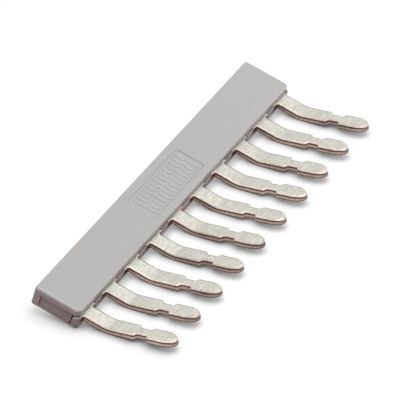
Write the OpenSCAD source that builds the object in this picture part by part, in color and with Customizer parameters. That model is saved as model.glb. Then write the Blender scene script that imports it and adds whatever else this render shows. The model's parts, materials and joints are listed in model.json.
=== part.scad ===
// Ten-pole plug-in jumper for a row of rail terminals.
// A moulded bar holds one stamped comb of contact tines: the comb lies in a pocket of the
// closing strip, and the cover shuts over both. Lengths are in millimetres.
// The pieces are drawn flat, bar bottom on z = 0 and tines toward -y, and are then laid down
// as the jumper comes to rest: on the strip's lower front edge and the tines' bends.

/* [Row] */
// Number of tines
poles = 10; // [2:1:16]
// Distance from one tine to the next
pitch = 6.2; // [5.6:0.1:9]
// From the outer edge of an end tine to the end of the bar
end_margin = 0.95; // [0.9:0.05:2]

/* [Bar] */
// Depth of the bar, front to back
bar_w = 7.4; // [7:0.1:10]
// Height of the bar
bar_h = 3.05; // [2.8:0.05:4.5]
// Thickness of the cover over the comb
top_t = 1.1; // [1:0.02:1.5]
// Thickness of the cover's back wall
back_t = 1.15; // [0.7:0.05:1.3]
// Radius of the two corners beside the tines, seen from above
front_r = 0.75; // [0.5:0.05:0.9]
// Radius of the two back corners, seen from above
back_r = 0.45; // [0.4:0.05:0.7]
// Rounding of the cover's upper edges
edge_r = 0.3; // [0.15:0.05:0.35]

/* [Field on the cover] */
// Length of the shallow field in the middle of the top
field_l = 14.2; // [8:0.1:18]
// Depth of the field, front to back
field_w = 4.7; // [3:0.1:6]
// Radius of its corners
field_r = 0.55; // [0.2:0.05:1.2]
// How deep it is sunk
field_d = 0.12; // [0.05:0.01:0.3]

/* [Closing strip] */
// How far the strip's front wall stands out of the cover
strip_proud = 0.06; // [0.02:0.01:0.15]
// How far a corner post stands out of the cover's end
post_out = 0.25; // [0.05:0.01:0.3]
// Rounding of the strip's lower front edge
strip_edge_r = 0.45; // [0.2:0.05:0.6]
// Depth of a corner post, front to back
post_l = 1.0; // [0.95:0.05:1.8]
// How far the strip's end lies behind the cover's end, between the back wall and the post
end_recess = 0.08; // [0.05:0.01:0.2]
// Width of the groove behind a corner post
groove_w = 0.2; // [0.15:0.01:0.3]
// Depth of that groove, measured from the recessed end
groove_d = 0.2; // [0.1:0.01:0.3]

/* [Comb sheet] */
// Thickness of the copper sheet
sheet_t = 0.9; // [0.6:0.05:1.2]
// Depth of the spine that joins the tines
spine_w = 4.1; // [3:0.1:4.5]
// Depth of the front wall that the spine lies behind
front_wall_t = 0.9; // [0.6:0.05:1.2]
// Width of the shoulders where a tine leaves the bar
shoulder_w = 4.1; // [3.4:0.05:4.4]
// How far the shoulders stand out of the cover's front face
shoulder_out = 0.09; // [0.02:0.01:0.3]
// How far the spine runs past the outer edge of an end tine
spine_over = 0.4; // [0.1:0.05:0.5]

/* [Tine] */
// Width of a tine
tine_w = 2.5; // [2:0.05:2.9]
// Radius of the inside corners between a tine and its shoulders
root_r = 0.2; // [0.1:0.05:0.4]
// Straight length from the cover's front face to the bend
straight_l = 3.05; // [2.5:0.05:6]
// Inside radius of the bend
bend_r = 3.3; // [1:0.1:5]
// Angle of the upward bend, in degrees
bend_angle = 21.5; // [18:0.5:30]
// How much the sheet thins on each of its faces in the bend
bend_thin = 0.005; // [0.002:0.001:0.02]
// Length of the blade from the bend to its tip
blade_l = 9.65; // [8.5:0.05:14]
// From the bend to the middle of the neck
neck_at = 4.5; // [3.5:0.05:5.5]
// Length of the neck between its ramps
neck_l = 1.25; // [0.8:0.05:2]
// Width of the neck
neck_w = 1.44; // [1:0.02:1.8]
// Length of the ramp at each end of the neck
neck_ramp = 0.5; // [0.3:0.05:0.9]
// Length of the rounded tip
tip_l = 1.9; // [1.4:0.05:2.4]
// Height of the lead-in bevel at the tip
bevel_h = 0.3; // [0.1:0.05:0.4]
// Width of that bevel at the end of the tip
bevel_w = 0.35; // [0.2:0.05:0.5]

/* [Fits] */
// Clearance round the comb in its pocket
comb_gap = 0.05; // [0.02:0.01:0.1]
// Clearance between the strip and the cover's back wall
strip_gap = 0.04; // [0.02:0.01:0.1]

/* [Hidden] */
$fn = 64;
over = 1;               // how far a cutting shape reaches past what it cuts
lap = 0.05;             // how far the straight part and the blade run into the bend
ramp_steps = 6;         // points along a ramp of the neck
tip_steps = 12;         // points along each side of the tip

grey_light = "#bdbbb8";
grey_dark = "#a9a5a2";
tin = "#d3d4c9";

bar_l = (poles - 1) * pitch + tine_w + 2 * end_margin;
seat_z = bar_h - top_t;             // underside of the cover, top of the strip and of the comb
comb_z = seat_z - sheet_t;          // floor of the comb's pocket
strip_back = bar_w - back_t - strip_gap;
strip_end = bar_l / 2 - end_recess;
spine_l = (poles - 1) * pitch + tine_w + 2 * spine_over;
tine_x = [for (i = [0 : poles - 1]) (i - (poles - 1) / 2) * pitch];

// The bend turns about a line along x, above the tines
bend_y = -straight_l;
bend_z = seat_z + bend_r;
bend_outer = bend_r + sheet_t;
bend_low = bend_outer - bend_thin;

// The jumper rests on the line that touches the strip's lower front edge and the bends from below
rest_dy = straight_l - strip_proud + strip_edge_r;
rest_dz = bend_z - strip_edge_r;
rest_span = norm([rest_dy, rest_dz]);
rest_tilt = acos((bend_low - strip_edge_r) / rest_span) - atan2(rest_dy, rest_dz);

// Where the laid jumper's lowest line, its back edge and the tips come to lie
floor_z = (strip_edge_r - strip_proud) * sin(rest_tilt) + strip_edge_r * cos(rest_tilt) - strip_edge_r;
back_y = bar_w * cos(rest_tilt);
axis_y = bend_y * cos(rest_tilt) - bend_z * sin(rest_tilt);
lean = bend_angle - rest_tilt;
tip_y = axis_y - blade_l * cos(lean) - bend_outer * sin(lean);
mid_y = (back_y + tip_y) / 2;

// Shapes

// One quarter of a round post with a rounded upper rim, its axis on z
module corner(r, h, rim) {
    rotate_extrude(angle = 90) {
        difference() {
            square([r, h]);
            translate([r - rim, h - rim]) square(rim + over);
        }
        intersection() {
            translate([r - rim, h - rim]) circle(rim);
            square([r, h]);
        }
    }
}

// Section of an edge strip: depth d along +x, height h, its outer upper edge rounded
module edge_section(d, h, rim) {
    difference() {
        square([d, h]);
        translate([d - rim, h - rim]) square(rim + over);
    }
    intersection() {
        translate([d - rim, h - rim]) circle(rim);
        square([d, h]);
    }
}

// A run of edge_section along x, centred, with its outer edge toward +y
module edge_run(l, d, h, rim) {
    translate([-l / 2, 0, 0])
        rotate([90, 0, 90])
            linear_extrude(l)
                edge_section(d, h, rim);
}

// Bar-shaped block with rounded upright corners and rounded upper edges, front face on y = 0
module rounded_bar(l, w, h, r_front, r_back, rim) {
    // front row: two round corners and the run between them
    translate([0, r_front, 0]) {
        mirror([0, 1, 0]) edge_run(l - 2 * r_front, r_front, h, rim);
        translate([l / 2 - r_front, 0, 0]) rotate([0, 0, -90]) corner(r_front, h, rim);
        translate([r_front - l / 2, 0, 0]) rotate([0, 0, 180]) corner(r_front, h, rim);
    }
    // middle: the full length, with its two end edges rounded
    translate([0, w - r_back, 0])
        rotate([90, 0, 0])
            linear_extrude(w - r_back - r_front) {
                edge_section(l / 2, h, rim);
                mirror([1, 0, 0]) edge_section(l / 2, h, rim);
            }
    // back row
    translate([0, w - r_back, 0]) {
        edge_run(l - 2 * r_back, r_back, h, rim);
        translate([l / 2 - r_back, 0, 0]) corner(r_back, h, rim);
        translate([r_back - l / 2, 0, 0]) rotate([0, 0, 90]) corner(r_back, h, rim);
    }
}

// Plan of a corner post and the front wall: a strip with two round front corners
module front_plan(l, d, r) {
    translate([-l / 2, -strip_proud + r]) square([l, d - r]);
    translate([r - l / 2, -strip_proud]) square([l - 2 * r, r]);
    for (side = [-1, 1]) translate([side * (l / 2 - r), -strip_proud + r]) circle(r);
}

// Plan of the strip: front wall with corner posts, recessed ends behind them
module strip_plan() {
    front_plan(bar_l + 2 * post_out, post_l + strip_proud, front_r + strip_proud);
    translate([-strip_end, 0]) square([2 * strip_end, strip_back]);
}

// Plan of the shallow field, centred
module field_plan() {
    square([field_l - 2 * field_r, field_w], center = true);
    square([field_l, field_w - 2 * field_r], center = true);
    for (x = [-1, 1], y = [-1, 1])
        translate([x * (field_l / 2 - field_r), y * (field_w / 2 - field_r)]) circle(field_r);
}

// Section of the strip across its length, y to the right, with its lower front edge rounded
module strip_section() {
    translate([strip_edge_r - strip_proud, 0]) square([strip_back + strip_proud - strip_edge_r, seat_z]);
    translate([-strip_proud, strip_edge_r]) square([strip_edge_r, seat_z - strip_edge_r]);
    translate([strip_edge_r - strip_proud, strip_edge_r]) circle(strip_edge_r);
}

// Left or right limit of a tine's shoulder, which never passes the end of the spine
function shoulder_from(x) = max(x - shoulder_w / 2, -spine_l / 2);
function shoulder_to(x) = min(x + shoulder_w / 2, spine_l / 2);

// Plan of the spine and the shoulders, widened all round by gap, out to y = front
module spine_plan(gap, front) {
    translate([-spine_l / 2 - gap, front_wall_t - gap]) square([spine_l + 2 * gap, spine_w + 2 * gap]);
    for (x = tine_x) {
        translate([shoulder_from(x) - gap, front])
            square([shoulder_to(x) - shoulder_from(x) + 2 * gap, front_wall_t - front]);
    }
}

// Plan of one inside corner between a tine and its shoulder, at the tine's right
module root_corner() {
    translate([tine_w / 2, -shoulder_out - root_r])
        difference() {
            square(root_r);
            translate([root_r, 0]) circle(root_r);
        }
}

// Plan of the flat part of the comb
module flat_plan() {
    spine_plan(0, -shoulder_out);
    for (x = tine_x) translate([x, 0]) {
        translate([-tine_w / 2, -straight_l - lap]) square([tine_w, straight_l + lap]);
        // an end tine has no room for the corner on its outer side
        if (shoulder_to(x) - x - tine_w / 2 >= root_r) root_corner();
        if (x - tine_w / 2 - shoulder_from(x) >= root_r) mirror([1, 0]) root_corner();
    }
}

// A tine's bend: its section, a little thinner than the sheet, swept about the bend line
module bend() {
    translate([0, bend_y, bend_z])
        rotate([180, 90, 0])
            rotate_extrude(angle = bend_angle)
                translate([bend_r + bend_thin, -tine_w / 2])
                    square([sheet_t - 2 * bend_thin, tine_w]);
}

// Smooth step from 0 to 1
function ease(t) = (1 - cos(180 * t)) / 2;

// Right edge of the blade, from the bend (y = 0) to the tip: ramp in, neck, ramp out, round tip
function blade_edge() = let (
    notch = (tine_w - neck_w) / 2,
    first = neck_at - neck_l / 2 - neck_ramp,
    second = neck_at + neck_l / 2,
    ramp_in = [for (i = [0 : ramp_steps]) let (t = i / ramp_steps)
        [tine_w / 2 - notch * ease(t), first + neck_ramp * t]],
    ramp_out = [for (i = [0 : ramp_steps]) let (t = i / ramp_steps)
        [neck_w / 2 + notch * ease(t), second + neck_ramp * t]],
    tip = [for (i = [0 : tip_steps]) let (a = 90 * i / tip_steps)
        [tine_w / 2 * cos(a), blade_l - tip_l + tip_l * sin(a)]]
) concat([[tine_w / 2, -lap]], ramp_in, ramp_out, tip);

// Plan of the blade, along +y, both edges mirrored about its middle line
module blade_plan() {
    edge = blade_edge();
    count = len(edge);
    polygon(concat(edge, [for (i = [count - 2 : -1 : 0]) [-edge[i][0], edge[i][1]]]));
}

// What the lead-in bevel takes off the top of the tip: a conical ring in front of its own axis
module bevel_cut() {
    r = tine_w / 2;
    translate([0, blade_l - bevel_w - r, sheet_t - bevel_h])
        difference() {
            translate([-tine_w, 0, 0]) cube([2 * tine_w, r + bevel_w + over, bevel_h + over]);
            cylinder(h = bevel_h, r1 = r + bevel_w, r2 = r);
            cylinder(h = bevel_h + 2 * over, r = r);
        }
}

// A tine's blade, turned up at the end of the bend
module blade() {
    translate([0, bend_y, bend_z])
        rotate([-bend_angle, 0, 0])
            translate([0, 0, -bend_outer])
                rotate([0, 0, 180])
                    difference() {
                        linear_extrude(sheet_t) blade_plan();
                        bevel_cut();
                    }
}

// Lays a piece down as the jumper comes to rest, its middle over the origin
module laid() {
    translate([0, -mid_y, -floor_z]) rotate([rest_tilt, 0, 0]) children();
}

// Pieces

// Moulded cover: the top of the bar with its shallow field, and its back wall
module cover() {
    color(grey_light) laid() difference() {
        rounded_bar(bar_l, bar_w, bar_h, front_r, back_r, edge_r);
        translate([-bar_l / 2 - over, -over, -over])
            cube([bar_l + 2 * over, bar_w - back_t + over, seat_z + over]);
        translate([0, bar_w / 2, bar_h - field_d]) linear_extrude(field_d + over) field_plan();
    }
}

// Moulded strip that closes the bar from below, with the comb's pocket and the tines' slots
module closing_strip() {
    color(grey_dark) laid() difference() {
        intersection() {
            linear_extrude(seat_z) strip_plan();
            translate([-bar_l, 0, 0])
                rotate([90, 0, 90])
                    linear_extrude(2 * bar_l)
                        strip_section();
        }
        translate([0, 0, comb_z]) linear_extrude(sheet_t + over) spine_plan(comb_gap, -over);
        for (side = [-1, 1])
            translate([side * strip_end - groove_d, post_l, -over])
                cube([2 * groove_d, groove_w, seat_z + 2 * over]);
    }
}

// Stamped and tinned copper comb: spine, shoulders and the bent tines in one piece
module contact_comb() {
    color(tin) laid() {
        translate([0, 0, comb_z]) linear_extrude(sheet_t) flat_plan();
        for (x = tine_x) translate([x, 0, 0]) {
            bend();
            blade();
        }
    }
}

cover();
closing_strip();
contact_comb();
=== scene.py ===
import json
import math

import bmesh
import bpy
from bpy.props import FloatProperty, FloatVectorProperty, IntProperty, PointerProperty, StringProperty
from mathutils import Matrix, Vector


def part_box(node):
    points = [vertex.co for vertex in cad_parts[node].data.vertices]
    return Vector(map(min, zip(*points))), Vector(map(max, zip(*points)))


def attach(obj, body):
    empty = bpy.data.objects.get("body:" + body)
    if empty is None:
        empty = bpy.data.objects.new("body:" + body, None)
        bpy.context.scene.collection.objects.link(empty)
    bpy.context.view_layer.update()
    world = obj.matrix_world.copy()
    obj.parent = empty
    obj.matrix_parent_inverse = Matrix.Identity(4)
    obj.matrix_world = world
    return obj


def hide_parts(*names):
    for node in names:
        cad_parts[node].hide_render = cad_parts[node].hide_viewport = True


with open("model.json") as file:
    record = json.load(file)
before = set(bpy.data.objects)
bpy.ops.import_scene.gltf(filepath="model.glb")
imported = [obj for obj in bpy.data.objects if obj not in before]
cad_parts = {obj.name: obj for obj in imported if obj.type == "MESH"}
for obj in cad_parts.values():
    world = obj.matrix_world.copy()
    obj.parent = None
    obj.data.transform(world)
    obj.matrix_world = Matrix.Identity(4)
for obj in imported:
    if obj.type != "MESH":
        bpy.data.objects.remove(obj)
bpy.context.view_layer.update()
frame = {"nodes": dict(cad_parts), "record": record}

bl_info = {
    "name": "Terminal Jumper",
    "version": (1, 0, 0),
    "blender": (4, 5, 0),
    "location": "3D View > Sidebar > Jumper",
    "description": "Builds the moulded bar and the tinned contact comb of a plug-in terminal jumper",
    "category": "Add Mesh",
}

MM = 0.001
COVER_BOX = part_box("cover")
STRIP_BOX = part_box("closing_strip")
COMB_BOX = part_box("contact_comb")


# The way the jumper lies: the bar leans as the normal of its flat underside, a mount in the record, says

UNDERSIDE = next(m for m in frame["record"]["mounts"] if m["name"] == "bar_underside")
REST_TILT = math.atan2(UNDERSIDE["axis"][1], -UNDERSIDE["axis"][2])


# Settings

def length(name, description, default):
    """A length in metres that a user may change."""
    return FloatProperty(
        name=name, description=description, default=default, min=0, unit="LENGTH", precision=5)


def strength(name, description, default):
    """A power or a share that a user may change."""
    return FloatProperty(name=name, description=description, default=default)


def colour(name, description, default):
    """A colour written as an sRGB hex value."""
    return StringProperty(name=name, description=description, default=default)


class BarSizes(bpy.types.PropertyGroup):
    """Sizes of the moulded bar in the flat frame: x along it, front face on y = 0, underside on z = 0."""

    bar_l: length("Length", "Length of the cover", COVER_BOX[1].x - COVER_BOX[0].x)
    bar_w: length("Depth", "Depth of the bar, front to back", 7.4 * MM)
    bar_h: length("Height", "Height of the bar", 3.05 * MM)
    top_t: length("Cover thickness", "Thickness of the cover over the comb", 1.1 * MM)
    back_t: length("Back wall", "Thickness of the cover's back wall", 1.15 * MM)
    front_r: length("Front corners", "Radius of the two corners beside the tines", 0.75 * MM)
    back_r: length("Back corners", "Radius of the two back corners", 0.45 * MM)
    face_back: length("Front face", "How far the cover's front face lies behind the packed one", 0.2 * MM)
    edge_r: length("Upper edges", "Rounding of the cover's upper edges at the ends and the back", 0.36 * MM)
    front_edge_r: length("Front edge", "Rounding of the cover's upper edge above the tines", 0.2 * MM)
    nick_r: length("Small edges", "Rounding of the moulded edges that look sharp", 0.08 * MM)
    end_deeper: length("Ends", "How much deeper the strip's recessed ends lie than packed", 0.12 * MM)
    post_l: length("Post depth", "Depth of a corner post, front to back", 1.0 * MM)
    post_lift: length("Post feet", "How far the feet of the corner posts are rounded up", 0.35 * MM)
    post_drop: length("Post heads", "How far the heads of the corner posts slope down outward", 0.25 * MM)
    field_l: length("Field length", "Length of the sunk field on the cover", 14.2 * MM)
    field_w: length("Field width", "Width of the sunk field on the cover", 4.7 * MM)
    field_r: length("Field corners", "Radius of the field's corners", 0.55 * MM)
    field_d: length("Field depth", "Depth of the sunk field", 0.12 * MM)
    rib_l: length("Rib length", "Length of a grip rib in the field", 1.65 * MM)
    rib_w: length("Rib width", "Width of a grip rib", 0.42 * MM)
    rib_h: length("Rib height", "Height of a grip rib", 0.11 * MM)
    rib_pitch: length("Rib pitch", "Distance from one rib to the next", 0.92 * MM)
    rib_row_gap: length("Rib rows", "Distance between the middles of the two rows of ribs", 2.05 * MM)
    rib_count: IntProperty(name="Ribs", description="Ribs in each of the two rows", default=14, min=1)


class CombSizes(bpy.types.PropertyGroup):
    """Sizes of the stamped comb, in the same flat frame."""

    poles: IntProperty(name="Poles", description="Number of tines", default=10, min=1)
    pitch: length("Pitch", "Distance from one tine to the next", 6.2 * MM)
    sheet_t: length("Sheet", "Thickness of the copper sheet", 0.9 * MM)
    spine_l: length("Spine length", "Length of the spine inside the bar", COMB_BOX[1].x - COMB_BOX[0].x)
    spine_w: length("Spine depth", "Depth of the spine inside the bar", 4.1 * MM)
    front_wall_t: length("Front wall", "Depth of the front wall that the spine lies behind", 0.9 * MM)
    shoulder_w: length("Shoulders", "Width of the shoulders where a tine leaves the bar", 4.1 * MM)
    shoulder_out: length("Shoulders out", "How far the shoulders stand out of the cover", 0.09 * MM)
    tine_w: length("Tine width", "Width of a tine", 2.5 * MM)
    root_r: length("Root corners", "Radius between a tine and its shoulders", 0.2 * MM)
    straight_l: length("Straight", "From the cover's front face to the bend", 3.05 * MM)
    bend_r: length("Bend radius", "Inside radius of the bend", 3.3 * MM)
    bend_angle: FloatProperty(
        name="Bend", description="Angle of the upward bend", default=math.radians(21.5), subtype="ANGLE")
    bend_thin: length("Bend thinning", "How much the sheet thins on each face in the bend", 0.005 * MM)
    blade_l: length("Blade", "Length of the blade from the bend to its tip", 9.65 * MM)
    neck_at: length("Neck place", "From the bend to the middle of the neck", 4.5 * MM)
    neck_l: length("Neck length", "Length of the neck between its ramps", 1.25 * MM)
    neck_w: length("Neck width", "Width of the neck", 1.44 * MM)
    neck_ramp: length("Neck ramps", "Length of the ramp at each end of the neck", 0.5 * MM)
    tip_l: length("Tip", "Length of the rounded tip", 1.9 * MM)
    bevel_h: length("Bevel height", "Height of the lead-in bevel at the tip", 0.3 * MM)
    bevel_w: length("Bevel width", "Width of the lead-in bevel at the tip", 0.35 * MM)
    roll_r: length("Rolled edge", "Radius that the punch rolls onto the upper edges", 0.15 * MM)
    shear_d: length("Shear depth", "Depth at which the smooth sheared band ends", 0.4 * MM)
    torn_d: length("Torn depth", "Depth at which the torn band ends and a dark line starts", 0.74 * MM)
    torn_out: length("Torn edge", "How far the torn band below stands out", 0.02 * MM)
    burr: length("Lower edge", "Rounding of the lower edges", 0.04 * MM)


class Finishes(bpy.types.PropertyGroup):
    """Colours of the materials, as sRGB hex values."""

    cover: colour("Cover", "Grey of the moulded cover", "BCBAB8")
    strip: colour("Strip", "Grey of the moulded closing strip", "B1AAA7")
    tin: colour("Tin", "Tin on the faces of the comb", "E6E4DA")
    # The tines' far sides get the dark sheared colour instead: the pale near rim and dark far rim are lit
    # and shaded copies of one rolled edge, painted light and shade over the real pink of thin tin on copper.
    rim: colour("Rim", "Thin tin on the rolled upper edges, with the copper showing through", "F5E5DC")
    # Its dark brown stands for the dark surroundings that the smooth band mirrors: a painted reflection over
    # real sheared copper. The same colour paints shade on the cut's lower edge, on the tines' far rolled
    # edges and round the shoulders.
    sheared: colour("Sheared copper", "Smooth upper band of the cut edges", "6B4F48")
    torn: colour("Torn copper", "Rough lower band of the cut edges", "C8B4A9")
    floor: colour("Floor", "Paper that the jumper lies on", "FFFFFF")
    bounce: colour("Bounce", "Light that the paper throws back onto the sides", "BA969E")


class StageSettings(bpy.types.PropertyGroup):
    """Camera and light."""

    azimuth: FloatProperty(
        name="Azimuth", description="Turn of the camera round the object, 0 from the front",
        default=math.radians(-61.526), subtype="ANGLE")
    elevation: FloatProperty(
        name="Elevation", description="Height of the camera above the floor's plane",
        default=math.radians(36.553), subtype="ANGLE")
    distance: length("Distance", "From the camera to the point that it looks at", 784.7 * MM)
    focal: FloatProperty(
        name="Focal length", description="In mm, on a picture 36 mm wide", default=512.26, min=1)
    look_at: FloatVectorProperty(
        name="Looks at", description="Point in the middle of the picture",
        default=(0.472 * MM, 1.297 * MM, 2.441 * MM), subtype="TRANSLATION", size=3)
    key_power: strength("Key light", "Power of the overhead soft box, in watts", 2.48)
    fill_power: strength("Fill light", "Power of the soft box on the tines' side, in watts", 0.085)
    edge_power: strength("Edge light", "Power of the light that shows in the edges, in watts", 0.3)
    sky: strength("Sky", "Strength of the even light from all round", 0.2)
    paper_glow: strength("Paper glow", "How far the seen paper is lifted", 0.8)
    paper_gain: strength("Paper gain", "How much the seen paper shows real shadows", 0.27)
    # the close shadow is painted on the paper, from how open it is near the jumper
    shadow_reach: length("Shadow reach", "How far the close shadow reaches from the jumper", 3.4 * MM)


# Small helpers

SHORTEST = 1e-9         # a shorter step from point to point, in metres, has no direction
MITRE_LIMIT = 0.3       # keeps the direction at a sharp corner from growing too long


def srgb(code):
    """An sRGB hex value as linear RGBA."""
    channels = [int(code[i:i + 2], 16) / 255 for i in (0, 2, 4)]
    linear = [c / 12.92 if c <= 0.04045 else ((c + 0.055) / 1.055) ** 2.4 for c in channels]
    return (*linear, 1.0)


def add_node(tree, kind, inputs=None, **settings):
    """Adds a node with its settings and links.

    An input given as a socket, or as a node for its first output, is linked. Any other is a value.
    """
    made = tree.nodes.new(kind)
    for name, value in settings.items():
        setattr(made, name, value)
    for key, value in (inputs or {}).items():
        if isinstance(value, bpy.types.Node):
            value = value.outputs[0]
        if isinstance(value, bpy.types.NodeSocket):
            tree.links.new(value, made.inputs[key])
        else:
            made.inputs[key].default_value = value
    return made


def ease(t):
    """Smooth step from 0 to 1, level before and after."""
    return (1 - math.cos(math.pi * max(0.0, min(1.0, t)))) / 2


def normals(points, closed=False):
    """Outward direction at each point of a line that turns left round its shape, longer at sharp corners."""
    made = []
    count = len(points)
    for i, p in enumerate(points):
        steps = [(points[i - 1], p)] if i or closed else []
        if i < count - 1 or closed:
            steps.append((p, points[(i + 1) % count]))
        sides = []
        for a, b in steps:
            d = Vector((b[0] - a[0], b[1] - a[1]))
            if d.length > SHORTEST:
                d.normalize()
                sides.append(Vector((d.y, -d.x)))
        mean = sum(sides, Vector((0, 0))) / len(sides)
        made.append(mean / max(mean.length_squared, MITRE_LIMIT))
    return made


def laid():
    """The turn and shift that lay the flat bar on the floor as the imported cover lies."""
    s = bpy.context.scene.bar_sizes
    shift_y = COVER_BOX[1].y - s.bar_w * math.cos(REST_TILT)
    shift_z = COVER_BOX[0].z - (s.bar_w - s.back_t) * math.sin(REST_TILT)
    return Matrix.Translation((0, shift_y, shift_z)) @ Matrix.Rotation(REST_TILT, 4, "X")


def new_piece(name, mesh, slot, *nodes):
    """An object for a finished mesh: it rides on the one body and stands for the given solids."""
    piece = bpy.data.objects.new(name, mesh)
    bpy.context.scene.collection.objects.link(piece)
    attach(piece, "root")
    if nodes:
        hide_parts(*nodes)
    return piece


def finish_mesh(bm, name, smooth_below, place=False):
    """A mesh from bm with outward faces, smooth except across edges sharper than smooth_below degrees.

    Where place is set, it is laid down as the jumper rests.
    """
    bmesh.ops.recalc_face_normals(bm, faces=bm.faces)
    mesh = bpy.data.meshes.new(name)
    if place:
        bm.transform(laid())
    bm.to_mesh(mesh)
    bm.free()
    mesh.shade_smooth()
    mesh.set_sharp_from_angle(angle=math.radians(smooth_below))
    return mesh


def repeat_tree(name, inputs):
    """A Geometry Nodes tree with Geometry in and out and more named inputs, and what it is given."""
    tree = bpy.data.node_groups.new(name, "GeometryNodeTree")
    for socket, kind in {"Geometry": "Geometry", **inputs}.items():
        tree.interface.new_socket(socket, in_out="INPUT", socket_type="NodeSocket" + kind)
    tree.interface.new_socket("Geometry", in_out="OUTPUT", socket_type="NodeSocketGeometry")
    return tree, add_node(tree, "NodeGroupInput").outputs


def repeated(pattern, tree, values):
    """The plain mesh that a tree makes of a pattern, laid down. values gives the tree's inputs by name."""
    modifier = pattern.modifiers.new(tree.name, "NODES")
    modifier.node_group = tree
    for item in tree.interface.items_tree:
        if item.item_type == "SOCKET" and item.in_out == "INPUT" and item.name in values:
            modifier[item.identifier] = values[item.name]
    bpy.context.view_layer.update()
    graph = bpy.context.evaluated_depsgraph_get()
    mesh = bpy.data.meshes.new_from_object(pattern.evaluated_get(graph))
    mesh.transform(laid())
    return mesh


# Materials

NOISE_RANGE = {"From Min": 0.3, "From Max": 0.7}    # most values of a noise texture lie between these
POLYAMIDE_IOR = 1.53
SHINE_SPREAD = 0.06             # how much the grain of the plastic changes its roughness
GROOVE_REACH = 0.4 * MM         # painted shade darkens the plastic where walls are closer than this
AO_SAMPLES = 8


def new_material(name):
    """A material with an empty node tree, and the place on the object in it, in metres."""
    material = bpy.data.materials.new(name)
    material.use_nodes = True
    tree = material.node_tree
    tree.nodes.clear()
    return material, tree, add_node(tree, "ShaderNodeTexCoord").outputs["Object"]


def end_surface(tree, code, factors, shine, relief, depth_mm, more):
    """Ends a tree with a solid surface, whose relief has a real depth.

    The factors lighten and darken its colour, and more holds further inputs by name.
    """
    shade = factors[0]
    for factor in factors[1:]:
        shade = add_node(tree, "ShaderNodeMath", {0: shade, 1: factor}, operation="MULTIPLY")
    base = add_node(tree, "ShaderNodeVectorMath", {0: srgb(code)[:3], "Scale": shade}, operation="SCALE")
    bump = add_node(tree, "ShaderNodeBump", {"Height": relief, "Strength": 0.5, "Distance": depth_mm * MM})
    shader = add_node(tree, "ShaderNodeBsdfPrincipled", {
        "Base Color": base, "Roughness": shine, "Normal": bump, **more})
    add_node(tree, "ShaderNodeOutputMaterial", {"Surface": shader})


def moulded_polyamide(name, code, grain_mm, depth_mm, cloud, roughness, shine_level=0.5):
    """Glass-filled polyamide from a spark-eroded mould: a dull grey with a fine even grain and faint clouds.

    Grooves and seams are painted darker: painted shade where little light gets in. The real grain is about
    0.05 mm. It is drawn at grain_mm so that it shows.
    """
    material, tree, place = new_material(name)
    clouds = add_node(tree, "ShaderNodeTexNoise", {
        "Vector": place, "Scale": 1 / (3.0 * MM), "Detail": 3.0, "Roughness": 0.55})
    grain = add_node(tree, "ShaderNodeTexNoise", {
        "Vector": place, "Scale": 1 / (grain_mm * MM), "Detail": 2.0, "Roughness": 0.6})
    change = {**NOISE_RANGE, "To Min": 1 - cloud, "To Max": 1 + cloud}
    tone = add_node(tree, "ShaderNodeMapRange", {"Value": clouds, **change})
    speck = add_node(tree, "ShaderNodeMapRange", {"Value": grain, **change})
    # painted shade: the colour darkens in grooves and seams, where walls close in and little light gets in
    groove = add_node(tree, "ShaderNodeAmbientOcclusion", {"Distance": GROOVE_REACH}, samples=AO_SAMPLES)
    painted_crevice_shade = add_node(tree, "ShaderNodeMapRange", {
        "Value": groove.outputs["AO"], "From Min": 0.4, "From Max": 0.9, "To Min": 0.3, "To Max": 1.0})
    shine = add_node(tree, "ShaderNodeMapRange", {
        "Value": grain, **NOISE_RANGE,
        "To Min": roughness - SHINE_SPREAD, "To Max": roughness + SHINE_SPREAD})
    end_surface(tree, code, (tone, speck, painted_crevice_shade), shine, grain, depth_mm, {
        "IOR": POLYAMIDE_IOR, "Specular IOR Level": shine_level})
    return material


def tinned_sheet(code):
    """Matt tin plated on rolled copper: pale, slightly yellow, mottled, with faint marks across the blade.

    Fine scratches run along the straight part, where the tine slides in its terminal.
    """
    material, tree, place = new_material("matt tin plating")

    def pattern(stretch, size_mm, detail, low, high):
        """Noise drawn out along one axis, and a factor between low and high that follows it."""
        drawn = add_node(tree, "ShaderNodeMapping", {"Vector": place, "Scale": stretch})
        noise = add_node(tree, "ShaderNodeTexNoise", {
            "Vector": drawn, "Scale": 1 / (size_mm * MM), "Detail": detail, "Roughness": 0.65})
        factor = add_node(tree, "ShaderNodeMapRange", {
            "Value": noise, **NOISE_RANGE, "To Min": low, "To Max": high})
        return noise, factor

    mottle, tone = pattern((1.0, 1.0, 1.0), size_mm=0.3, detail=4.0, low=0.82, high=1.12)
    marks, band = pattern((1.0, 6.0, 1.0), size_mm=2.0, detail=3.0, low=0.85, high=1.1)
    _, scratch = pattern((9.0, 0.7, 1.0), size_mm=1.6, detail=2.0, low=0.93, high=1.05)
    shine = add_node(tree, "ShaderNodeMapRange", {
        "Value": marks, **NOISE_RANGE, "To Min": 0.36, "To Max": 0.5})
    end_surface(tree, code, (tone, band, scratch), shine, mottle, 0.03, {"Metallic": 1.0})
    return material


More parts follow.
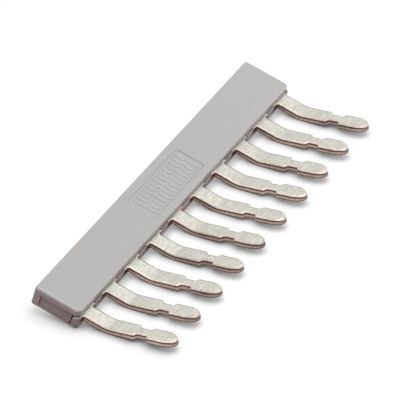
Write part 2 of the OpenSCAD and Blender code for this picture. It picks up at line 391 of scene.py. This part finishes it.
def cut_copper(name, code, smoothest, roughest, streak_mm, depth_mm):
    """Copper bared by the punch: streaked through the sheet's thickness, smooth if sheared, dull if torn.

    Stains several millimetres long make some tines darker than others.
    """
    material, tree, place = new_material(name)
    upright = add_node(tree, "ShaderNodeMapping", {"Vector": place, "Scale": (1.0, 1.0, 0.25)})
    streak = add_node(tree, "ShaderNodeTexNoise", {
        "Vector": upright, "Scale": 1 / (streak_mm * MM), "Detail": 3.0, "Roughness": 0.6})
    tone = add_node(tree, "ShaderNodeMapRange", {
        "Value": streak, **NOISE_RANGE, "To Min": 0.75, "To Max": 1.2})
    stain = add_node(tree, "ShaderNodeTexNoise", {
        "Vector": place, "Scale": 1 / (7.0 * MM), "Detail": 1.0})
    dull = add_node(tree, "ShaderNodeMapRange", {
        "Value": stain, "From Min": 0.35, "From Max": 0.65, "To Min": 0.7, "To Max": 1.1})
    shine = add_node(tree, "ShaderNodeMapRange", {
        "Value": streak, **NOISE_RANGE, "To Min": smoothest, "To Max": roughest})
    end_surface(tree, code, (tone, dull), shine, streak, depth_mm, {"Metallic": 1.0})
    return material


def studio_paper(code, bounce, glow, gain, reach, row_end, bar_front):
    """White backdrop paper, over-exposed to the camera as in a cut-out, with a painted shadow close to the
    jumper.

    Within reach of the jumper, the paper as seen is darkened by how little open sky each place has: painted
    shadow. It is stronger, and so reaches farther, past the end of the row (x below row_end) and weaker
    under the bar (y above bar_front); the lamps' real shadows show only faintly through it. It throws back
    less light onto the jumper than it shows, a little pink.
    """
    material, tree, place = new_material("white backdrop paper")
    path = add_node(tree, "ShaderNodeLightPath").outputs
    mirrored = add_node(tree, "ShaderNodeMath", {
        0: path["Is Glossy Ray"], 1: path["Is Transmission Ray"]}, operation="MAXIMUM")
    axes = add_node(tree, "ShaderNodeSeparateXYZ", {"Vector": place}).outputs
    past_end = add_node(tree, "ShaderNodeMapRange", {
        "Value": axes["X"], "From Min": row_end, "From Max": row_end + 2 * MM,
        "To Min": 0.36, "To Max": 0.85})
    under_bar = add_node(tree, "ShaderNodeMapRange", {
        "Value": axes["Y"], "From Min": bar_front - 2 * MM, "From Max": bar_front + MM,
        "To Min": 0.14, "To Max": 0.55})
    # painted shadow: two reaches of openness darken the seen paper near the jumper, the wide one stronger
    # past the row's end, the tight one weaker under the bar
    near = add_node(tree, "ShaderNodeAmbientOcclusion", {"Distance": reach}, samples=AO_SAMPLES)
    soft = add_node(tree, "ShaderNodeMapRange", {"Value": near.outputs["AO"], "To Min": past_end})
    touch_reach = 0.4 * reach
    touch = add_node(tree, "ShaderNodeAmbientOcclusion", {"Distance": touch_reach}, samples=AO_SAMPLES)
    tight = add_node(tree, "ShaderNodeMapRange", {
        "Value": touch.outputs["AO"], "From Min": 0.2, "To Min": under_bar})
    close = add_node(tree, "ShaderNodeMath", {0: soft, 1: tight}, operation="MULTIPLY")
    thrown = add_node(tree, "ShaderNodeMix", {
        "Factor": mirrored, 6: srgb(bounce), 7: srgb(code)}, data_type="RGBA")
    shown = add_node(tree, "ShaderNodeVectorMath", {0: srgb(code)[:3], "Scale": close}, operation="SCALE")
    exposed = add_node(tree, "ShaderNodeVectorMath", {0: shown, "Scale": gain}, operation="SCALE")
    paper = add_node(tree, "ShaderNodeMix", {
        "Factor": path["Is Camera Ray"], 6: thrown.outputs[2], 7: exposed}, data_type="RGBA")
    matt = add_node(tree, "ShaderNodeBsdfDiffuse", {"Color": paper.outputs[2]})
    lift = add_node(tree, "ShaderNodeMath", {0: path["Is Camera Ray"], 1: glow}, operation="MULTIPLY")
    light = add_node(tree, "ShaderNodeEmission", {"Color": shown, "Strength": lift})
    both = add_node(tree, "ShaderNodeAddShader", {0: matt, 1: light})
    add_node(tree, "ShaderNodeOutputMaterial", {"Surface": both})
    return material


# Shapes of the bar

ARC_STEPS = 12
RIM_STEPS = 8
GRAINED, SMOOTH = 0, 1
HEM = 0.03 * MM         # narrow band beside an edge, which keeps the shading of the flat face even
DOUBLE = 1e-7           # points closer than this, in metres, are one
TINY = 0.01 * MM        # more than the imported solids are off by


def arc(centre, radius, start):
    """Points of a quarter circle, turning left from the angle start (in quarter turns)."""
    angles = [(start + i / ARC_STEPS) * math.pi / 2 for i in range(ARC_STEPS + 1)]
    return [(centre[0] + radius * math.cos(a), centre[1] + radius * math.sin(a)) for a in angles]


def bar_ring(half_l, front, back, r_front, r_back, waist):
    """Rounded outline seen from above, turning left, with one more point at y = waist on each end."""
    return (
        [(half_l, waist)]
        + arc((half_l - r_back, back - r_back), r_back, 0)
        + arc((r_back - half_l, back - r_back), r_back, 1)
        + [(-half_l, waist)]
        + arc((r_front - half_l, front + r_front), r_front, 2)
        + arc((half_l - r_front, front + r_front), r_front, 3)
    )


def ring_wall(bm, lower, upper, finish):
    """Faces between two rings of as many points, in one finish."""
    count = len(lower)
    for i in range(count):
        j = (i + 1) % count
        bm.faces.new((lower[i], lower[j], upper[j], upper[i])).material_index = finish


def rim_at(normal):
    """Rounding of the cover's upper edge where the outline faces along normal.

    It is crisp in front and softer elsewhere, and the change is spread over the front corners.
    """
    s = bpy.context.scene.bar_sizes
    starts, run = 0.25, 0.7
    crisp = ease((-normal.y - starts) / run)
    return s.edge_r + (s.front_edge_r - s.edge_r) * crisp


def cover_mesh():
    """Cover of the bar: rounded top with a sunk field, and the back wall that runs down to the underside."""
    s = bpy.context.scene.bar_sizes
    waist = s.bar_w - s.back_t
    seat = s.bar_h - s.top_t
    base = bar_ring(s.bar_l / 2, s.face_back, s.bar_w, s.front_r, s.back_r, waist)
    outward = normals(base, closed=True)
    rims = [rim_at(n) for n in outward]

    def outline(turn, inset=0.0, drop=0.0):
        """The outline part of the way round its upper edge: 0 at the foot of the rounding, 1 on the top."""
        a = turn * math.pi / 2
        ring = []
        for p, n, r in zip(base, outward, rims):
            shift = r * (1 - math.cos(a)) + inset
            ring.append((p[0] - n.x * shift, p[1] - n.y * shift, s.bar_h - r * (1 - math.sin(a)) - drop))
        return ring

    def field(inset, depth):
        """The field's outline, inset, at a depth below the top."""
        front = (s.bar_w - s.field_w) / 2 + inset
        r = s.field_r - inset
        ring = bar_ring(s.field_l / 2 - inset, front, s.bar_w - front, r, r, s.bar_w / 2)
        return [(x, y, s.bar_h - depth) for x, y in ring]

    levels = [[(x, y, seat) for x, y in base], outline(0, drop=HEM)]
    levels += [outline(i / RIM_STEPS) for i in range(RIM_STEPS + 1)]
    levels.append(outline(1, inset=HEM))
    levels += [field(-2 * HEM, 0), field(-HEM, 0), field(0, HEM), field(HEM, s.field_d - HEM),
               field(2 * HEM, s.field_d), field(3 * HEM, s.field_d)]

    bm = bmesh.new()
    rings = [[bm.verts.new(p) for p in ring] for ring in levels]
    for n, (lower, upper) in enumerate(zip(rings, rings[1:])):
        ring_wall(bm, lower, upper, SMOOTH if 1 <= n <= RIM_STEPS + 1 else GRAINED)
    bm.faces.new(rings[-1])

    # the back wall hangs from the rear part of the lowest ring, between its two waist points
    seat_ring = rings[0]
    rear = seat_ring[:2 * (ARC_STEPS + 1) + 2]
    foot = [bm.verts.new((v.co.x, v.co.y, 0)) for v in rear]
    for i in range(len(rear) - 1):
        bm.faces.new((foot[i], foot[i + 1], rear[i + 1], rear[i]))
    bm.faces.new((foot[-1], foot[0], rear[0], rear[-1]))
    bm.faces.new(reversed(foot))
    front = seat_ring[len(rear) - 1:] + [seat_ring[0]]
    bm.faces.new(reversed(front))
    return finish_mesh(bm, "bar_cover", smooth_below=35, place=True)


def strip_mesh():
    """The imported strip's own shape, merged to whole faces so that its edges can be rounded.

    Its recessed ends are set a little deeper toward the top, so that the seam round them shows as a dark
    line. The groove behind each corner post is opened to its full width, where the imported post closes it
    with a thin skin. The posts' feet are rounded up, and their heads slope down outward.
    """
    s = bpy.context.scene.bar_sizes
    turn = laid()
    flat = turn.inverted()
    bm = bmesh.new()
    bm.from_mesh(frame["nodes"]["closing_strip"].data)

    def merge():
        """Joins doubled points and the flat faces that meet along a straight line."""
        bmesh.ops.remove_doubles(bm, verts=bm.verts, dist=DOUBLE)
        bmesh.ops.dissolve_limit(
            bm, angle_limit=math.radians(1), verts=bm.verts, edges=bm.edges, use_dissolve_boundaries=False)

    def places():
        """Each point with its place in the flat frame and how far it stands out of the cover's end."""
        return [(v, *(flat @ v.co), abs(v.co.x) - s.bar_l / 2) for v in bm.verts]

    merge()
    # distances out of the cover's end: a groove's floor lies between the first two, its skin past the third
    groove_deepest, groove_floor, groove_skin = -0.3 * MM, -0.2 * MM, 0.11 * MM
    skin_end = 0.003 * MM       # the rear edge of the groove stays
    behind_post = s.post_l - TINY
    grooves = [y for _, _, y, _, out in places() if y > behind_post and groove_deepest < out < groove_floor]
    for v, x, y, z, out in places():
        if out > groove_skin and min(grooves) < y < max(grooves) - skin_end:
            v.co = turn @ Vector((x, min(grooves), z))
    merge()
    bmesh.ops.triangulate(bm, faces=bm.faces)
    post_out = STRIP_BOX[1].x - s.bar_l / 2
    middle = 1.0 * MM       # a post stays as packed at this height
    for v, x, y, z, out in places():
        if y > behind_post and groove_deepest < out < -TINY:
            draft = 1 if out < groove_floor else min(1, z / middle)
            v.co.x -= math.copysign(s.end_deeper * draft, x)
        elif out > 0:
            rise = s.post_lift * max(0.0, 1 - z / middle) - s.post_drop * max(0.0, z / middle - 1)
            v.co.z += rise * out / post_out
    merge()
    return finish_mesh(bm, "bar_strip", smooth_below=35)


def rib_mesh():
    """One grip rib: a low round-backed bar with round ends, standing on z = 0."""
    s = bpy.context.scene.bar_sizes
    stations, across = 8, 6
    even = 0.8          # share of the length that has the full section
    bm = bmesh.new()
    rows = []
    for i in range(stations + 1):
        along = math.sin((i / stations - 0.5) * math.pi)
        size = math.sqrt(max(0.0, 1 - max(0.0, (abs(along) - even) / (1 - even)) ** 2))
        row = []
        for k in range(across + 1):
            a = k / across * math.pi
            row.append(bm.verts.new((
                -s.rib_w / 2 * math.cos(a) * size, along * s.rib_l / 2, s.rib_h * math.sin(a) * size)))
        rows.append(row)
    for lower, upper in zip(rows, rows[1:]):
        for k in range(across):
            bm.faces.new((lower[k], lower[k + 1], upper[k + 1], upper[k]))
        bm.faces.new((lower[across], lower[0], upper[0], upper[across]))
    bmesh.ops.remove_doubles(bm, verts=bm.verts, dist=DOUBLE)
    return finish_mesh(bm, "grip_rib", smooth_below=60)


def rib_tree():
    """Geometry Nodes that set a shape on a grid of points: named inputs for the counts and distances."""
    tree, given = repeat_tree("grip ribs", {
        "Count": "Int", "Rows": "Int", "Run": "Float", "Row gap": "Float", "Place": "Vector",
        "Finish": "Material"})
    grid = add_node(tree, "GeometryNodeMeshGrid", {
        "Size X": given["Run"], "Size Y": given["Row gap"],
        "Vertices X": given["Count"], "Vertices Y": given["Rows"]})
    moved = add_node(tree, "GeometryNodeTransform", {"Geometry": grid, "Translation": given["Place"]})
    ribs = add_node(tree, "GeometryNodeInstanceOnPoints", {"Points": moved, "Instance": given["Geometry"]})
    real = add_node(tree, "GeometryNodeRealizeInstances", {"Geometry": ribs})
    made = add_node(tree, "GeometryNodeSetMaterial", {"Geometry": real, "Material": given["Finish"]})
    add_node(tree, "NodeGroupOutput", {"Geometry": made})
    return tree


# Shapes of the comb

TIN, RIM, SHEARED_AND_SHADE, TORN = 0, 1, 2, 3
ACROSS = 6              # faces across a tine
ROLL_STEPS = 4          # steps round the rolled edge
BEVELLED = 0.2          # share of the tip's bevel from which its upper bands are tinned
BEVEL_BANDS = 2         # bands of the rolled edge that are tinned on the bevel
SIDEWAYS = 0.95         # an edge that faces along x by this much is a long side, not a ramp
WELD = 1e-6             # tines and spine meet within this distance, in metres


def bend_length():
    """Length of the bend in the middle of the sheet."""
    c = bpy.context.scene.comb_sizes
    return (c.bend_r + c.sheet_t / 2) * c.bend_angle


def tine_edge():
    """Right edge of a tine laid flat, as (half width, distance from the cover's face), from root to tip."""
    c = bpy.context.scene.comb_sizes
    half = c.tine_w / 2
    notch = (c.tine_w - c.neck_w) / 2
    root = c.shoulder_out + c.root_r
    blade = c.straight_l + bend_length()
    first = blade + c.neck_at - c.neck_l / 2 - c.neck_ramp
    second = blade + c.neck_at + c.neck_l / 2
    tip = blade + c.blade_l - c.tip_l

    def run(start, end, steps):
        """Points along a straight side."""
        return [(half, start + (end - start) * i / steps) for i in range(steps)]

    ramp, round_tip = 8, 16
    edge = run(root, c.straight_l, steps=4) + run(c.straight_l, blade, steps=8)
    edge += run(blade, first, steps=8)
    edge += [(half - notch * ease(i / ramp), first + c.neck_ramp * i / ramp) for i in range(ramp + 1)]
    edge += [(half - notch + notch * ease(i / ramp), second + c.neck_ramp * i / ramp) for i in range(ramp)]
    edge += run(second + c.neck_ramp, tip, steps=4)
    for i in range(round_tip + 1):
        a = i / round_tip * math.pi / 2
        edge.append((half * math.cos(a), tip + c.tip_l * math.sin(a)))
    return edge


def bent(x, along, depth):
    """A point of the flat tine (depth below its top face) on the bent tine."""
    b = bpy.context.scene.bar_sizes
    c = bpy.context.scene.comb_sizes
    top = b.bar_h - b.top_t
    if along <= c.straight_l:
        return Vector((x, -along, top - depth))
    arc_l = bend_length()
    turn = min(1.0, (along - c.straight_l) / arc_l) * c.bend_angle
    past = max(0.0, along - c.straight_l - arc_l)
    share = turn / c.bend_angle
    onset = 6           # the thinning sets in over a sixth of the bend at each end
    thin = c.bend_thin * min(1.0, onset * share, onset * (1 - share))
    radius = c.bend_r + depth + thin * (1 - 2 * depth / c.sheet_t)
    return Vector((
        x,
        -c.straight_l - radius * math.sin(turn) - past * math.cos(turn),
        top + c.bend_r - radius * math.cos(turn) + past * math.sin(turn),
    ))


def cut_profile(bevel):
    """The cut edge from top to bottom as (inset, depth, material of the band below it).

    bevel goes from 0 to 1 toward the tip, where the rolled edge grows to the lead-in bevel.
    """
    c = bpy.context.scene.comb_sizes
    roll_w = c.roll_r + (c.bevel_w - c.roll_r) * bevel
    roll_h = c.roll_r + (c.bevel_h - c.roll_r) * bevel
    shear_d = c.shear_d + roll_h - c.roll_r
    ledge_h = 0.06 * MM
    rows = [(roll_w + HEM + c.torn_out, 0, RIM)]
    for i in range(ROLL_STEPS + 1):
        a = i / ROLL_STEPS * math.pi / 2
        rows.append((roll_w * (1 - math.sin(a)) + c.torn_out, roll_h * (1 - math.cos(a)),
                     RIM if i < ROLL_STEPS else SHEARED_AND_SHADE))
    return rows + [
        (c.torn_out, shear_d, TORN),
        (0, shear_d + ledge_h, TORN),
        # painted shade: below the torn band the cut takes the dark sheared colour again, a dark line along
        # the lower edge
        (0, c.torn_d, SHEARED_AND_SHADE),
        (0, c.sheet_t - c.burr, SHEARED_AND_SHADE),
        (c.burr, c.sheet_t, TIN),
        (c.burr + HEM, c.sheet_t, TIN),
    ]


def edge_columns(bm, points, outward, place, bevels):
    """Vertices of the cut edge under each point of an outline, from the top face to the lower face."""
    columns = []
    for p, n, bevel in zip(points, outward, bevels):
        columns.append([
            bm.verts.new(place(p[0] - n.x * inset, p[1] - n.y * inset, depth))
            for inset, depth, _ in cut_profile(bevel)])
    return columns


def edge_bands(bm, columns, pairs, sheared=(), rolled=None):
    """Faces of the cut edge between neighbouring columns, each band with its own material.

    sheared names the first columns of pairs whose cut has no torn band. rolled gives, for some first
    columns, the material of the rolled edge and how many of its bands take it.
    """
    zones = [zone for _, _, zone in cut_profile(0)]
    for i, j in pairs:
        for k in range(len(zones) - 1):
            zone = zones[k]
            if zone == TORN and i in sheared:
                zone = SHEARED_AND_SHADE
            if zone == RIM:
                other, bands = (rolled or {}).get(i, (RIM, 0))
                zone = other if k < bands else RIM
            corners = (columns[i][k], columns[i][k + 1], columns[j][k + 1], columns[j][k])
            bm.faces.new(corners).material_index = zone


def tine_mesh():
    """One tine, centred on x = 0: top face, lower face and cut edge, open where it meets the spine."""
    c = bpy.context.scene.comb_sizes
    right = tine_edge()
    left = [(-x, v) for x, v in reversed(right)][1:]
    # the outline turns left seen from above when the distance in front of the cover is taken as -y
    outline = [(x, -v) for x, v in reversed(right + left)]
    tip_start = c.straight_l + bend_length() + c.blade_l - c.tip_l
    # the bevel grows over the second half of the rounded tip
    bevels = [ease((-y - tip_start) / c.tip_l * 2 - 1) for _, y in outline]
    outward = normals(outline)
    outward[0] = Vector((-1, 0))
    outward[-1] = Vector((1, 0))
    apex = len(outline) // 2
    outward[apex] = Vector((0, -1))

    bm = bmesh.new()
    columns = edge_columns(bm, outline, outward, lambda x, y, d: bent(x, -y, d), bevels)
    rolled = {}
    # painted light and shade: the near side's rolled edge keeps the pale rim colour, while the far side's
    # takes the dark sheared colour along its long sides and the tin elsewhere
    for i, (x, _) in enumerate(outline):
        if bevels[i] > BEVELLED:
            rolled[i] = (TIN, BEVEL_BANDS)
        elif x > 0:
            rolled[i] = (SHEARED_AND_SHADE if outward[i].x > SIDEWAYS else TIN, ROLL_STEPS + 1)
    edge_bands(bm, columns, [(i, i + 1) for i in range(len(columns) - 1)], rolled=rolled)

    # rows across the two faces, from one side's column to the other's
    for level in (0, -1):
        rows = []
        for i in range(apex + 1):
            a, b = columns[i][level], columns[-1 - i][level]
            if a is b:
                rows.append([a] * (ACROSS + 1))
                continue
            inner = [bm.verts.new(a.co.lerp(b.co, k / ACROSS)) for k in range(1, ACROSS)]
            rows.append([a, *inner, b])
        for lower, upper in zip(rows, rows[1:]):
            for k in range(ACROSS):
                corners = list(dict.fromkeys((lower[k], lower[k + 1], upper[k + 1], upper[k])))
                if len(corners) > 2:
                    bm.faces.new(corners).material_index = TIN
    return finish_mesh(bm, "tine", smooth_below=40)


def spine_outline():
    """Plan of the spine with its shoulders, turning left from the first tine's left shoulder.

    Also gives the roots' places, and the points round the shoulders, whose cut has no torn band.
    """
    c = bpy.context.scene.comb_sizes
    reach = c.spine_l / 2
    front = -c.shoulder_out
    half = c.tine_w / 2
    steps = 5
    corner = []
    for k in range(1, steps + 1):
        a = k / steps * math.pi / 2
        corner.append((half + c.root_r * (1 - math.sin(a)), front - c.root_r * (1 - math.cos(a))))
    points, roots, sheared = [], [], set()
    for i in range(c.poles):
        x = (i - (c.poles - 1) / 2) * c.pitch
        low, high = max(x - c.shoulder_w / 2, -reach), min(x + c.shoulder_w / 2, reach)
        first = len(points)
        points += [(low, c.front_wall_t), (low, front)]
        if low < x - half - c.root_r:
            points.append((x - half - c.root_r, front))
        points += [(x - p, y) for p, y in corner]
        roots.append(len(points) - 1)
        points += [(x + p, y) for p, y in reversed(corner)]
        if high > x + half + c.root_r:
            points.append((x + half + c.root_r, front))
        points += [(high, front), (high, c.front_wall_t)]
        # painted shade in part: round the shoulders the whole cut takes the dark sheared colour, which also
        # stands for the shade in the slot beside each root
        sheared.update(range(first, len(points) - 1))
    # an end shoulder runs straight into the end of the spine
    points[0] = (-reach, c.front_wall_t)
    points[-1] = (reach, c.front_wall_t)
    points += [(reach, c.front_wall_t + c.spine_w), (-reach, c.front_wall_t + c.spine_w)]
    return points, roots, sheared


def spine_mesh():
    """Spine and shoulders, open where the tines join on."""
    b = bpy.context.scene.bar_sizes
    points, roots, sheared = spine_outline()
    outward = normals(points, closed=True)
    for i in roots:
        outward[i] = Vector((-1, 0))
        outward[i + 1] = Vector((1, 0))
    top = b.bar_h - b.top_t

    bm = bmesh.new()
    count = len(points)
    columns = edge_columns(bm, points, outward, lambda x, y, d: Vector((x, y, top - d)), [0.0] * count)
    edge_bands(bm, columns, [(i, (i + 1) % count) for i in range(count) if i not in roots], sheared)
    for level in (0, -1):
        loop = []
        for i, column in enumerate(columns):
            loop.append(column[level])
            if i in roots:
                a, z = column[level].co, columns[i + 1][level].co
                loop += [bm.verts.new(a.lerp(z, k / ACROSS)) for k in range(1, ACROSS)]
        bm.faces.new(loop).material_index = TIN
    return finish_mesh(bm, "spine", smooth_below=40)


def comb_tree():
    """Geometry Nodes for the comb: tines in a row, welded to the spine, with a material for each zone."""
    tree, given = repeat_tree("contact comb", {
        "Tine": "Object", "Poles": "Int", "Pitch": "Float", "Start": "Vector", "Tin": "Material",
        "Rim": "Material", "Sheared": "Material", "Torn": "Material"})
    step = add_node(tree, "ShaderNodeCombineXYZ", {"X": given["Pitch"]})
    places = add_node(tree, "GeometryNodeMeshLine", {
        "Count": given["Poles"], "Start Location": given["Start"], "Offset": step}, mode="OFFSET")
    tine = add_node(tree, "GeometryNodeObjectInfo", {"Object": given["Tine"]}, transform_space="ORIGINAL")
    row = add_node(tree, "GeometryNodeInstanceOnPoints", {
        "Points": places, "Instance": tine.outputs["Geometry"]})
    real = add_node(tree, "GeometryNodeRealizeInstances", {"Geometry": row})
    joined = add_node(tree, "GeometryNodeJoinGeometry", {"Geometry": real})
    tree.links.new(given["Geometry"], joined.inputs["Geometry"])
    shape = add_node(tree, "GeometryNodeMergeByDistance", {"Geometry": joined, "Distance": WELD})
    zone = add_node(tree, "GeometryNodeInputNamedAttribute", {"Name": "zone"}, data_type="INT")
    for number, name in ((TIN, "Tin"), (RIM, "Rim"), (SHEARED_AND_SHADE, "Sheared"), (TORN, "Torn")):
        chosen = add_node(
            tree, "FunctionNodeCompare", {2: zone, 3: number}, data_type="INT", operation="EQUAL")
        shape = add_node(tree, "GeometryNodeSetMaterial", {
            "Geometry": shape, "Selection": chosen, "Material": given[name]})
    add_node(tree, "NodeGroupOutput", {"Geometry": shape})
    return tree


def store_zone(mesh):
    """Keeps each face's material number as an attribute that the node tree can read."""
    zone = mesh.attributes.new("zone", "INT", "FACE")
    zone.data.foreach_set("value", [p.material_index for p in mesh.polygons])
    for p in mesh.polygons:
        p.material_index = 0


# Operators

SENSOR_MM = 36
FLOOR_HALF = 2.0        # half the side of the paper, in metres
# Each lamp: its place and side in metres, the setting of its power, and the rays that do not see it
LAMPS = {
    "soft_box": ((-0.04, -0.06, 0.55), 0.4, "key_power", "visible_glossy"),
    "fill_light": ((0.1, -0.1, 0.02), 0.06, "fill_power", "visible_glossy"),
    "edge_light": ((0.17, -0.02, 0.55), 0.13, "edge_power", "visible_diffuse"),
}


class JUMPER_OT_stage(bpy.types.Operator):
    """Sets the pale floor, the soft light and the camera"""

    bl_idname = "jumper.stage"
    bl_label = "Stage"

    def execute(self, context):
        s = context.scene.stage_settings
        self.camera(context.scene, s)
        self.floor(context.scene, s)
        for name, (place, side, power, unseen) in LAMPS.items():
            box = self.soft_box(context.scene, name, place, side, getattr(s, power))
            setattr(box, unseen, False)
        self.sky(context.scene, s)
        context.scene.view_settings.view_transform = "Standard"
        return {"FINISHED"}

    def camera(self, scene, s):
        """Camera at the photograph's angle, upright, with the object in the middle."""
        level = math.cos(s.elevation)
        back = Vector((
            math.sin(s.azimuth) * level, -math.cos(s.azimuth) * level, math.sin(s.elevation)))
        camera = bpy.data.cameras.new("camera")
        camera.lens = s.focal
        camera.sensor_width = SENSOR_MM
        camera.clip_end = 10
        eye = bpy.data.objects.new("camera", camera)
        eye.location = Vector(s.look_at) + back * s.distance
        eye.rotation_euler = back.to_track_quat("Z", "Y").to_euler()
        scene.collection.objects.link(eye)
        scene.camera = eye

    def floor(self, scene, s):
        """Large sheet of white paper under the jumper."""
        bm = bmesh.new()
        bmesh.ops.create_grid(bm, x_segments=4, y_segments=4, size=FLOOR_HALF)
        mesh = bpy.data.meshes.new("floor")
        bm.to_mesh(mesh)
        bm.free()
        f = scene.finishes
        mesh.materials.append(studio_paper(
            f.floor, f.bounce, s.paper_glow, s.paper_gain, s.shadow_reach, COMB_BOX[0].x, COVER_BOX[0].y))
        floor = bpy.data.objects.new("floor", mesh)
        scene.collection.objects.link(floor)

    def soft_box(self, scene, name, place, side, power):
        """A square soft box that faces the jumper."""
        lamp = bpy.data.lights.new(name, "AREA")
        lamp.shape = "SQUARE"
        lamp.size = side
        lamp.energy = power
        box = bpy.data.objects.new(name, lamp)
        box.location = place
        box.rotation_euler = Vector(place).to_track_quat("Z", "Y").to_euler()
        scene.collection.objects.link(box)
        return box

    def sky(self, scene, s):
        """Even light from all round; white to the camera, and in gloss a little brighter overhead."""
        world = bpy.data.worlds.new("studio")
        scene.world = world
        world.use_nodes = True
        tree = world.node_tree
        tree.nodes.clear()
        path = add_node(tree, "ShaderNodeLightPath").outputs
        mirrored = add_node(tree, "ShaderNodeMath", {
            0: path["Is Glossy Ray"], 1: path["Is Transmission Ray"]}, operation="MAXIMUM")
        place = add_node(tree, "ShaderNodeTexCoord").outputs["Generated"]
        height = add_node(tree, "ShaderNodeSeparateXYZ", {"Vector": place}).outputs["Z"]
        glossy = add_node(tree, "ShaderNodeMapRange", {
            "Value": height, "From Min": 0.1, "From Max": 0.75, "To Min": 1.12, "To Max": 1.14})
        level = add_node(tree, "ShaderNodeMix", {
            "Factor": mirrored, 2: s.sky, 3: glossy}, data_type="FLOAT")
        shown = add_node(tree, "ShaderNodeMix", {
            "Factor": path["Is Camera Ray"], 2: level, 3: 1.0}, data_type="FLOAT")
        light = add_node(tree, "ShaderNodeBackground", {"Strength": shown})
        add_node(tree, "ShaderNodeOutputWorld", {"Surface": light})


class JUMPER_OT_bar(bpy.types.Operator):
    """Builds the moulded bar: cover, closing strip and the grip ribs in the sunk field"""

    bl_idname = "jumper.bar"
    bl_label = "Moulded bar"

    def execute(self, context):
        s = context.scene.bar_sizes
        f = context.scene.finishes
        grained = moulded_polyamide(
            "moulded grey polyamide", f.cover, grain_mm=0.16, depth_mm=0.012, cloud=0.012, roughness=0.52)
        smooth = moulded_polyamide(
            "moulded grey polyamide, smooth edge", f.cover, grain_mm=0.2, depth_mm=0.006, cloud=0.012,
            roughness=0.3, shine_level=1.0)
        coarse = moulded_polyamide(
            "moulded grey polyamide of the strip", f.strip, grain_mm=0.28, depth_mm=0.04, cloud=0.1,
            roughness=0.6)

        cover = new_piece("bar_cover", cover_mesh(), "cover_plastic", "cover")
        cover.data.materials.append(grained)
        cover.data.materials.append(smooth)
        strip = new_piece("bar_strip", strip_mesh(), "strip_plastic", "closing_strip")
        strip.data.materials.append(coarse)
        for piece in (cover, strip):
            nick = piece.modifiers.new("small edges", "BEVEL")
            nick.width = s.nick_r
            nick.segments = 2
            nick.limit_method = "ANGLE"
            nick.angle_limit = math.radians(50)
            nick.use_clamp_overlap = True
        self.ribs(s, smooth)
        return {"FINISHED"}

    def ribs(self, s, finish):
        """Two rows of plain grip ribs on the floor of the field."""
        pattern = bpy.data.objects.new("grip_ribs_pattern", rib_mesh())
        bpy.context.scene.collection.objects.link(pattern)
        mesh = repeated(pattern, rib_tree(), {
            "Count": s.rib_count,
            "Rows": 2,
            "Run": (s.rib_count - 1) * s.rib_pitch,
            "Row gap": s.rib_row_gap,
            "Place": (0, s.bar_w / 2, s.bar_h - s.field_d),
            "Finish": finish,
        })
        bpy.data.objects.remove(pattern)
        new_piece("grip_ribs", mesh, "cover_plastic")


class JUMPER_OT_comb(bpy.types.Operator):
    """Builds the stamped contact comb with its bent tines"""

    bl_idname = "jumper.comb"
    bl_label = "Contact comb"

    def execute(self, context):
        c = context.scene.comb_sizes
        f = context.scene.finishes
        tine = bpy.data.objects.new("tine_pattern", tine_mesh())
        spine = bpy.data.objects.new("spine_pattern", spine_mesh())
        for part in (tine, spine):
            store_zone(part.data)
            context.scene.collection.objects.link(part)
        mesh = repeated(spine, comb_tree(), {
            "Tine": tine,
            "Poles": c.poles,
            "Pitch": c.pitch,
            "Start": (-(c.poles - 1) / 2 * c.pitch, 0, 0),
            "Tin": tinned_sheet(f.tin),
            "Rim": cut_copper(
                "thin tin on copper", f.rim, smoothest=0.3, roughest=0.45, streak_mm=0.35, depth_mm=0.008),
            "Sheared": cut_copper(
                "sheared copper", f.sheared, smoothest=0.35, roughest=0.5, streak_mm=0.3, depth_mm=0.01),
            "Torn": cut_copper(
                "torn copper", f.torn, smoothest=0.55, roughest=0.75, streak_mm=0.18, depth_mm=0.03),
        })
        mesh.name = "contact_comb_plated"
        for part in (tine, spine):
            bpy.data.objects.remove(part)
        new_piece("contact_comb_plated", mesh, "tinned_copper", "contact_comb")
        return {"FINISHED"}


class JUMPER_PT_panel(bpy.types.Panel):
    """Lists the jumper's settings and the steps that build it"""

    bl_idname = "JUMPER_PT_panel"
    bl_label = "Terminal Jumper"
    bl_space_type = "VIEW_3D"
    bl_region_type = "UI"
    bl_category = "Jumper"

    def draw(self, context):
        for title in GROUPS:
            group = getattr(context.scene, title)
            box = self.layout.box()
            box.label(text=title.replace("_", " ").capitalize())
            for name in group.__annotations__:
                box.prop(group, name)
        for step in STEPS:
            self.layout.operator(step.bl_idname)


STEPS = (JUMPER_OT_stage, JUMPER_OT_bar, JUMPER_OT_comb)
GROUPS = {
    "bar_sizes": BarSizes,
    "comb_sizes": CombSizes,
    "finishes": Finishes,
    "stage_settings": StageSettings,
}


def register():
    for name, group in GROUPS.items():
        bpy.utils.register_class(group)
        setattr(bpy.types.Scene, name, PointerProperty(type=group))
    for step in STEPS:
        bpy.utils.register_class(step)
    bpy.utils.register_class(JUMPER_PT_panel)


def unregister():
    bpy.utils.unregister_class(JUMPER_PT_panel)
    for step in reversed(STEPS):
        bpy.utils.unregister_class(step)
    for name, group in reversed(GROUPS.items()):
        delattr(bpy.types.Scene, name)
        bpy.utils.unregister_class(group)


def main():
    register()
    bpy.ops.jumper.stage()
    bpy.ops.jumper.bar()
    bpy.ops.jumper.comb()


if __name__ == "__main__":
    main()
